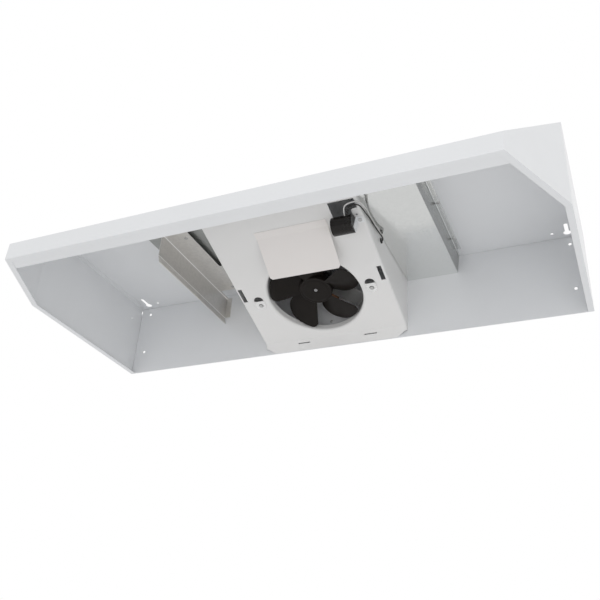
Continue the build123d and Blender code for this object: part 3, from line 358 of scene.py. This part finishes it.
def fan_hub(around=240):
    """The hub's section turned about the axis: its face with a sunk ring, a recess round the shaft and three
    ejector marks, which are dips that fade with the distance from their centres, its rounded rim, its wall, and
    the inside of the cup with its boss."""
    inside_rise = face_rise + hub_wall
    inside_radius = hub_radius - hub_wall
    rounding_centre = (hub_radius - hub_rounding, face_rise + hub_rounding)
    face = [(shaft_bore, hub_depth), (shaft_bore, face_rise + 1.6), (4.9, face_rise + 1.6), (5.2, face_rise + 0.2)]
    face += [(r, face_rise) for r in np.arange(5.6, 10.6, 0.35)] + [(r, face_rise) for r in (13.0, 17.0, 21.0, 24.6)]
    rim = [(25.0, face_rise + 0.25), (27.2, face_rise + 0.25), (27.6, face_rise)]
    rim += [
        (rounding_centre[0] + hub_rounding * sin(a), rounding_centre[1] - hub_rounding * cos(a))
        for a in np.linspace(0, pi / 2, 9)
    ]
    cup = [(hub_radius, 26.0), (hub_radius, hub_depth), (inside_radius, hub_depth), (inside_radius, inside_rise)]
    cup += [(18.0, inside_rise), (boss_radius, inside_rise), (boss_radius, hub_depth), (shaft_bore, hub_depth)]
    section = np.array(face + rim + cup)
    angle = np.linspace(0, 2 * pi, around, endpoint=False)
    radius = np.repeat(section[:, :1], around, 1)
    rise = np.repeat(section[:, 1:], around, 1)
    x, back = radius * np.cos(angle), radius * np.sin(angle)
    for mark in np.radians((150.0, 270.0, 30.0)):
        away = np.hypot(x - mark_circle * cos(mark), back - mark_circle * sin(mark))
        rise = rise + mark_depth * np.clip(mark_radius - away, 0, 0.5) / 0.5 * (rise < face_rise + 0.1)
    return on_fan(x, back, rise), len(section), around


fan_black = moulding("fan_black", (0.0105, 0.0080, 0.0065), 0.42, shine=0.16)
blade_points, rings, around = fan_blades()
hub_points, hub_rings, hub_around = fan_hub()
blade_size = rings * around
fan_faces = [tube_faces(rings, around, number * blade_size) for number in range(blade_count)]
fan_faces.append(tube_faces(hub_rings, hub_around, blade_count * blade_size))
moulded_fan = skin(
    "moulded_fan",
    np.concatenate((blade_points.reshape(-1, 3), hub_points.reshape(-1, 3))),
    np.concatenate(fan_faces),
    fan_black,
)
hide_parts("fan_blade")
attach(moulded_fan, "fan")

# Motor: a shaded-pole motor. Its stack is oiled laminations, its bearing plates and rotor rings are cast,
# its bearings are sintered bronze, and a galvanised strap carries it over the orifice.


def laminations(name, tone, pitch=0.0006):
    """Stamped sheets seen on edge: dark joints one sheet apart along the fan's axis, over oily steel."""
    material, tree, shader = new_finish(name, 0.45, 0.9)
    place = tree.nodes.new("ShaderNodeTexCoord")
    level = tree.nodes.new("ShaderNodeMapping")
    level.inputs["Rotation"].default_value = (slope, 0.0, 0.0)
    bands = tree.nodes.new("ShaderNodeTexWave")
    bands.bands_direction = "Z"
    bands.inputs["Scale"].default_value = pi / (10.0 * pitch)
    tree.links.new(place.outputs["Object"], level.inputs["Vector"])
    tree.links.new(level.outputs["Vector"], bands.inputs["Vector"])
    tone_between(tree, shader, bands.outputs["Fac"], [channel * 0.55 for channel in tone], tone)
    gloss_between(tree, shader, cloud(tree, 80.0), 0.34, 0.55)
    relief(tree, shader, bands.outputs["Fac"], 0.00004)
    return material


def galvanised(name, tone, roughness=0.40, metallic=0.8, contrast=0.96, wall_painted_shade=1.0, highlight_folds=()):
    """Zinc dipped sheet: spangles a few millimetres across, each with its own shade and gloss, and rolling lines.
    Upright walls are darkened with painted shade, and a painted highlight runs along the fold lines, one at each (x,
    z)."""
    material, tree, shader = new_finish(name, roughness, metallic)
    place = tree.nodes.new("ShaderNodeTexCoord")
    spangle = tree.nodes.new("ShaderNodeTexVoronoi")
    spangle.inputs["Scale"].default_value = 230.0
    tree.links.new(place.outputs["Object"], spangle.inputs["Vector"])
    shade = tree.nodes.new("ShaderNodeSeparateColor")
    tree.links.new(spangle.outputs["Color"], shade.inputs["Color"])
    tone_between(tree, shader, shade.outputs["Red"], [channel * contrast for channel in tone], tone)
    gloss_between(tree, shader, shade.outputs["Green"], roughness - 0.03, roughness + 0.05)
    relief(tree, shader, cloud(tree, 500.0, 2.0, (1.0, 0.05, 1.0)), 0.00001)
    # Painted shade: the base colour is darkened where the surface's normal is near level, on upright walls.
    facing = tree.nodes.new("ShaderNodeSeparateXYZ")
    level = tree.nodes.new("ShaderNodeMath")
    level.operation = "ABSOLUTE"
    wall_darkening = tree.nodes.new("ShaderNodeMapRange")
    wall_darkening.inputs["From Min"].default_value = 0.3
    wall_darkening.inputs["From Max"].default_value = 0.8
    wall_darkening.inputs["To Min"].default_value = wall_painted_shade
    wall_darkening.inputs["To Max"].default_value = 1.0
    shaded = tree.nodes.new("ShaderNodeVectorMath")
    shaded.operation = "SCALE"
    tree.links.new(place.outputs["Normal"], facing.inputs["Vector"])
    tree.links.new(facing.outputs["Z"], level.inputs[0])
    tree.links.new(level.outputs[0], wall_darkening.inputs["Value"])
    tree.links.new(shader.inputs["Base Color"].links[0].from_socket, shaded.inputs[0])
    tree.links.new(wall_darkening.outputs["Result"], shaded.inputs["Scale"])
    tree.links.new(shaded.outputs["Vector"], shader.inputs["Base Color"])
    # Painted highlight: a near white line about a millimetre and a half wide along each fold line.
    for fold_x, fold_z in highlight_folds:
        across = tree.nodes.new("ShaderNodeVectorMath")
        across.operation = "MULTIPLY"
        across.inputs[1].default_value = (1.0, 0.0, 1.0)
        away = tree.nodes.new("ShaderNodeVectorMath")
        away.operation = "DISTANCE"
        away.inputs[1].default_value = (fold_x, 0.0, fold_z)
        fold_highlight = tree.nodes.new("ShaderNodeMapRange")
        fold_highlight.inputs["From Min"].default_value = 0.0010
        fold_highlight.inputs["From Max"].default_value = 0.0016
        blend = tree.nodes.new("ShaderNodeMix")
        blend.data_type = "RGBA"
        blend.inputs["A"].default_value = (1.0, 1.0, 0.99, 1.0)
        tree.links.new(place.outputs["Object"], across.inputs[0])
        tree.links.new(across.outputs["Vector"], away.inputs[0])
        tree.links.new(away.outputs["Value"], fold_highlight.inputs["Value"])
        tree.links.new(fold_highlight.outputs["Result"], blend.inputs["Factor"])
        tree.links.new(shader.inputs["Base Color"].links[0].from_socket, blend.inputs["B"])
        tree.links.new(blend.outputs["Result"], shader.inputs["Base Color"])
    return material


dress(laminations("stack_laminations", (0.34, 0.34, 0.35)), "motor_stator")
cast_aluminium = rolled_steel("cast_aluminium", (0.70, 0.71, 0.72), 0.42)
dress(cast_aluminium, "motor_rotor", "bearing_plate_lower", "bearing_plate_upper")
dress(rolled_steel("ground_shaft", (0.36, 0.36, 0.365), 0.24), "motor_shaft")
dress(rolled_steel("sintered_bronze", (0.56, 0.42, 0.24), 0.50), "sleeve_bearings")
dress(plated_steel, "motor_spacers", "motor_bolts", "motor_nuts")
dress(galvanised("strap_zinc", (0.60, 0.60, 0.59)), "motor_strap")
dress(moulding("winding_varnish", (0.36, 0.15, 0.06), 0.30), "motor_coil")

# Lamp: an enamelled shield welded to the panel, and a moulded socket with a brass liner and contact,
# riveted to the panel by an angle bracket.
# The shield's enamel is a lighter, pinker copy of the panel's white: painted light on its tilted face.
dress(enamel("shield_lit_enamel", (0.830, 0.795, 0.775), 0.36), "lamp_shield")
dress(moulding("socket_black", (0.011, 0.009, 0.0075), 0.24, shine=0.30), "lamp_socket")
drawn_brass = rolled_steel("drawn_brass", (0.80, 0.62, 0.30), 0.24)
dress(drawn_brass, "lamp_contact")


socket_y, socket_z = -28.766, 81.936
liner_mouth, liner_end = 93.0, 115.5
thread_pitch, thread_height = 3.63, 0.34
thread_radius, liner_radius = 13.32, 13.72
thread_fade = 1.5


def rolled_thread(rings=96, around=128):
    """The screw liner: a tube whose inner wall rises and falls as a wave along its axis, and the wave turns once
    for each pitch. Near both ends the wave fades out. The outer wall is plain and joins it at both ends."""
    lengthwise, section = np.linspace(liner_mouth, liner_end, rings), np.linspace(0, 2 * pi, around, endpoint=False)
    x, angle = np.meshgrid(lengthwise, section, indexing="ij")
    fade = np.clip((x - liner_mouth) / thread_fade, 0, 1) * np.clip((liner_end - x) / thread_fade, 0, 1)
    inner = thread_radius - thread_height * fade * np.cos(2 * pi * (x - liner_mouth) / thread_pitch - angle)
    outer_x, outer_angle = x[:: 1 - rings], angle[:: 1 - rings]
    radius = np.concatenate((inner, np.full(outer_x.shape, liner_radius), inner[:1]))
    x = np.concatenate((x, outer_x, x[:1]))
    angle = np.concatenate((angle, outer_angle, angle[:1]))
    points = np.stack((x, radius * np.cos(angle) + socket_y, radius * np.sin(angle) + socket_z), -1) * millimetre
    return points, len(x), around


thread_points, thread_rings, thread_around = rolled_thread()
threaded_liner = skin("threaded_liner", thread_points, tube_faces(thread_rings, thread_around), drawn_brass)
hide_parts("lamp_socket_liner")
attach(threaded_liner, "hood")
dress(canopy_enamel, "lamp_bracket")

# Leads: two stranded wires in plastic sleeves, from the socket round the panel's tongue, along the plenum's
# wall and in by a rubber grommet to their twist-on connectors.
dress(moulding("grommet_rubber", (0.030, 0.030, 0.030), 0.62), "wire_grommet")
dress(moulding("connector_plastic", (0.028, 0.028, 0.030), 0.40), "wire_connectors")
lead_diameter = 0.0022


def lamp_lead(name, node, route, sleeve):
    """One lead: a smooth open curve steered by the points of its route, with a round section."""
    line = bpy.data.curves.new(name, "CURVE")
    line.dimensions = "3D"
    line.bevel_depth = lead_diameter / 2
    line.bevel_resolution = 5
    line.resolution_u = 12
    line.use_fill_caps = True
    spline = line.splines.new("NURBS")
    spline.points.add(len(route) - 1)
    spline.points.foreach_set("co", [value for point in route for value in (*point, 1.0)])
    spline.order_u = 3
    spline.use_endpoint_u = True
    line.materials.append(sleeve)
    lead = bpy.data.objects.new(name, line)
    bpy.context.scene.collection.objects.link(lead)
    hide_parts(node)
    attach(lead, "hood")
    return lead


black_lead = lamp_lead(
    "black_lead", "lamp_lead_black",
    [
        (0.1195, -0.04071, 0.09142), (0.1195, -0.04776, 0.09701), (0.1265, -0.05033, 0.10167),
        (0.1415, -0.04907, 0.1023), (0.146, -0.03278, 0.0974), (0.1436, -0.02325, 0.1025),
        (0.1426, 0.00075, 0.109), (0.1426, 0.03775, 0.1095), (0.148, 0.06475, 0.10425),
        (0.13, 0.06475, 0.10425), (0.113, 0.07175, 0.0955),
    ],
    moulding("lead_black_sleeve", (0.020, 0.019, 0.018), 0.38),
)
white_lead = lamp_lead(
    "white_lead", "lamp_lead_white",
    [
        (0.115, -0.04071, 0.09142), (0.115, -0.05089, 0.0995), (0.1255, -0.05555, 0.10341),
        (0.145, -0.05413, 0.10452), (0.15, -0.03531, 0.0993), (0.1466, -0.02525, 0.1055),
        (0.143, 0.00075, 0.1123), (0.143, 0.03775, 0.1124), (0.148, 0.06475, 0.10675),
        (0.13, 0.06475, 0.10675), (0.114, 0.05675, 0.1155),
    ],
    moulding("lead_white_sleeve", (0.700, 0.695, 0.680), 0.40),
)

# Wiring box: a bent cover of galvanised sheet between the plenum and its own sloping outer wall.
# Three pan head screws hold its flange to the flat top, and one like them shows on the back panel behind the fan.
# Painted shade darkens the cover's upright walls to about half their colour.
box_zinc = galvanised("box_zinc", (0.81, 0.82, 0.81), 0.16, metallic=0.96, contrast=0.985, wall_painted_shade=0.54)
dress(box_zinc, "wiring_box_cover")


head_radius, head_height, shank_radius = 3.2, 1.8, 1.8
bar_half, bar_reach, bar_depth = 0.62, 1.9, 1.0
bar_side_slope, bar_end_slope = 0.22, 0.3


def cross_screws(heads, length, around=72):
    """Pan head screws with a cross recess. Each is a section turned about its axis: a flattened dome, its flat
    underside and its shank. Two crossed bars sink into the dome. Heads are (seat, axis) pairs, in millimetres,
    and the axis points out of the head."""
    outwards = np.linspace(0, 1, 26)
    dome_radius = head_radius * np.sin(outwards * pi / 2)
    dome_rise = head_height * np.cos(outwards * pi / 2) ** 0.7
    radius = np.concatenate((dome_radius, (shank_radius, shank_radius, 0.0)))
    rise = np.concatenate((dome_rise, (0.0, -length, -length)))
    angle = np.linspace(0, 2 * pi, around, endpoint=False)
    u, v = radius[:, None] * np.cos(angle), radius[:, None] * np.sin(angle)
    bars = [
        np.clip((bar_half - np.abs(width)) / bar_side_slope, 0, 1)
        * np.clip((bar_reach - np.abs(length_along)) / bar_end_slope, 0, 1)
        for width, length_along in ((u, v), (v, u))
    ]
    height = rise[:, None] - bar_depth * np.maximum(*bars) * (rise[:, None] > 0.2)
    points, faces = [], []
    for number, (seat, axis) in enumerate(heads):
        axis = np.array(axis)
        side = np.cross(axis, (1.0, 0.0, 0.0))
        across = np.cross(side, axis)
        place = u[..., None] * across + v[..., None] * side + height[..., None] * axis
        points.append((np.array(seat) + place).reshape(-1, 3) * millimetre)
        faces.append(tube_faces(len(radius), around, number * len(radius) * around))
    return np.concatenate(points), np.concatenate(faces)


down, forwards = (0.0, 0.0, -1.0), (0.0, -1.0, 0.0)
flat_top = 152.4
box_seat = 150.8
box_heads = [((243.7, y, box_seat), down) for y in (162.25, 52.25, -57.75)]
cover_screws = skin("cover_screws", *cross_screws(box_heads, flat_top - box_seat), plated_steel)
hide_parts("box_screws")
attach(cover_screws, "hood")
wall_head = ((-8.5, 221.4, 53.3), forwards)
wall_screw = skin("wall_screw", *cross_screws([wall_head], 0.6), plated_steel)
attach(wall_screw, "hood")

# Switches: two rocker switches snapped into the slanted front, one for the fan and one for the lamp.
# Each is a moulded black housing with a glossier white rocker.
switch_black = moulding("switch_black", (0.030, 0.030, 0.032), 0.36)
rocker_white = moulding("rocker_white", (0.800, 0.800, 0.790), 0.28)
dress(switch_black, "fan_switch", "light_switch")
dress(rocker_white, "fan_rocker", "light_rocker")

# Left bay: a galvanised angle channel hung by two screws from the flat top, with a painted highlight along each fold
# line and painted shade on its upright wall.
# Above it a dark galvanised plate closes the port in the flat top; its dark tone is painted shade over the channel.
channel_highlight_folds = ((-0.2450, 0.0984), (-0.2450, 0.1426))
channel_zinc = galvanised(
    "channel_zinc", (0.80, 0.785, 0.76), 0.36, metallic=0.80, contrast=0.95, wall_painted_shade=0.88, highlight_folds=channel_highlight_folds
)
dress(channel_zinc, "side_channel")
dress(plated_steel, "channel_spacers")
channel_seat = 142.6
channel_heads = [((-209.5, y, channel_seat), down) for y in (177.25, -2.75)]
hanging_screws = skin("hanging_screws", *cross_screws(channel_heads, flat_top - channel_seat), plated_steel)
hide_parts("channel_screws")
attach(hanging_screws, "hood")
# The port plate's dark zinc is painted shade in the hollow above the channel.
dress(galvanised("port_painted_shade", (0.40, 0.41, 0.40), 0.42), "port_plate")
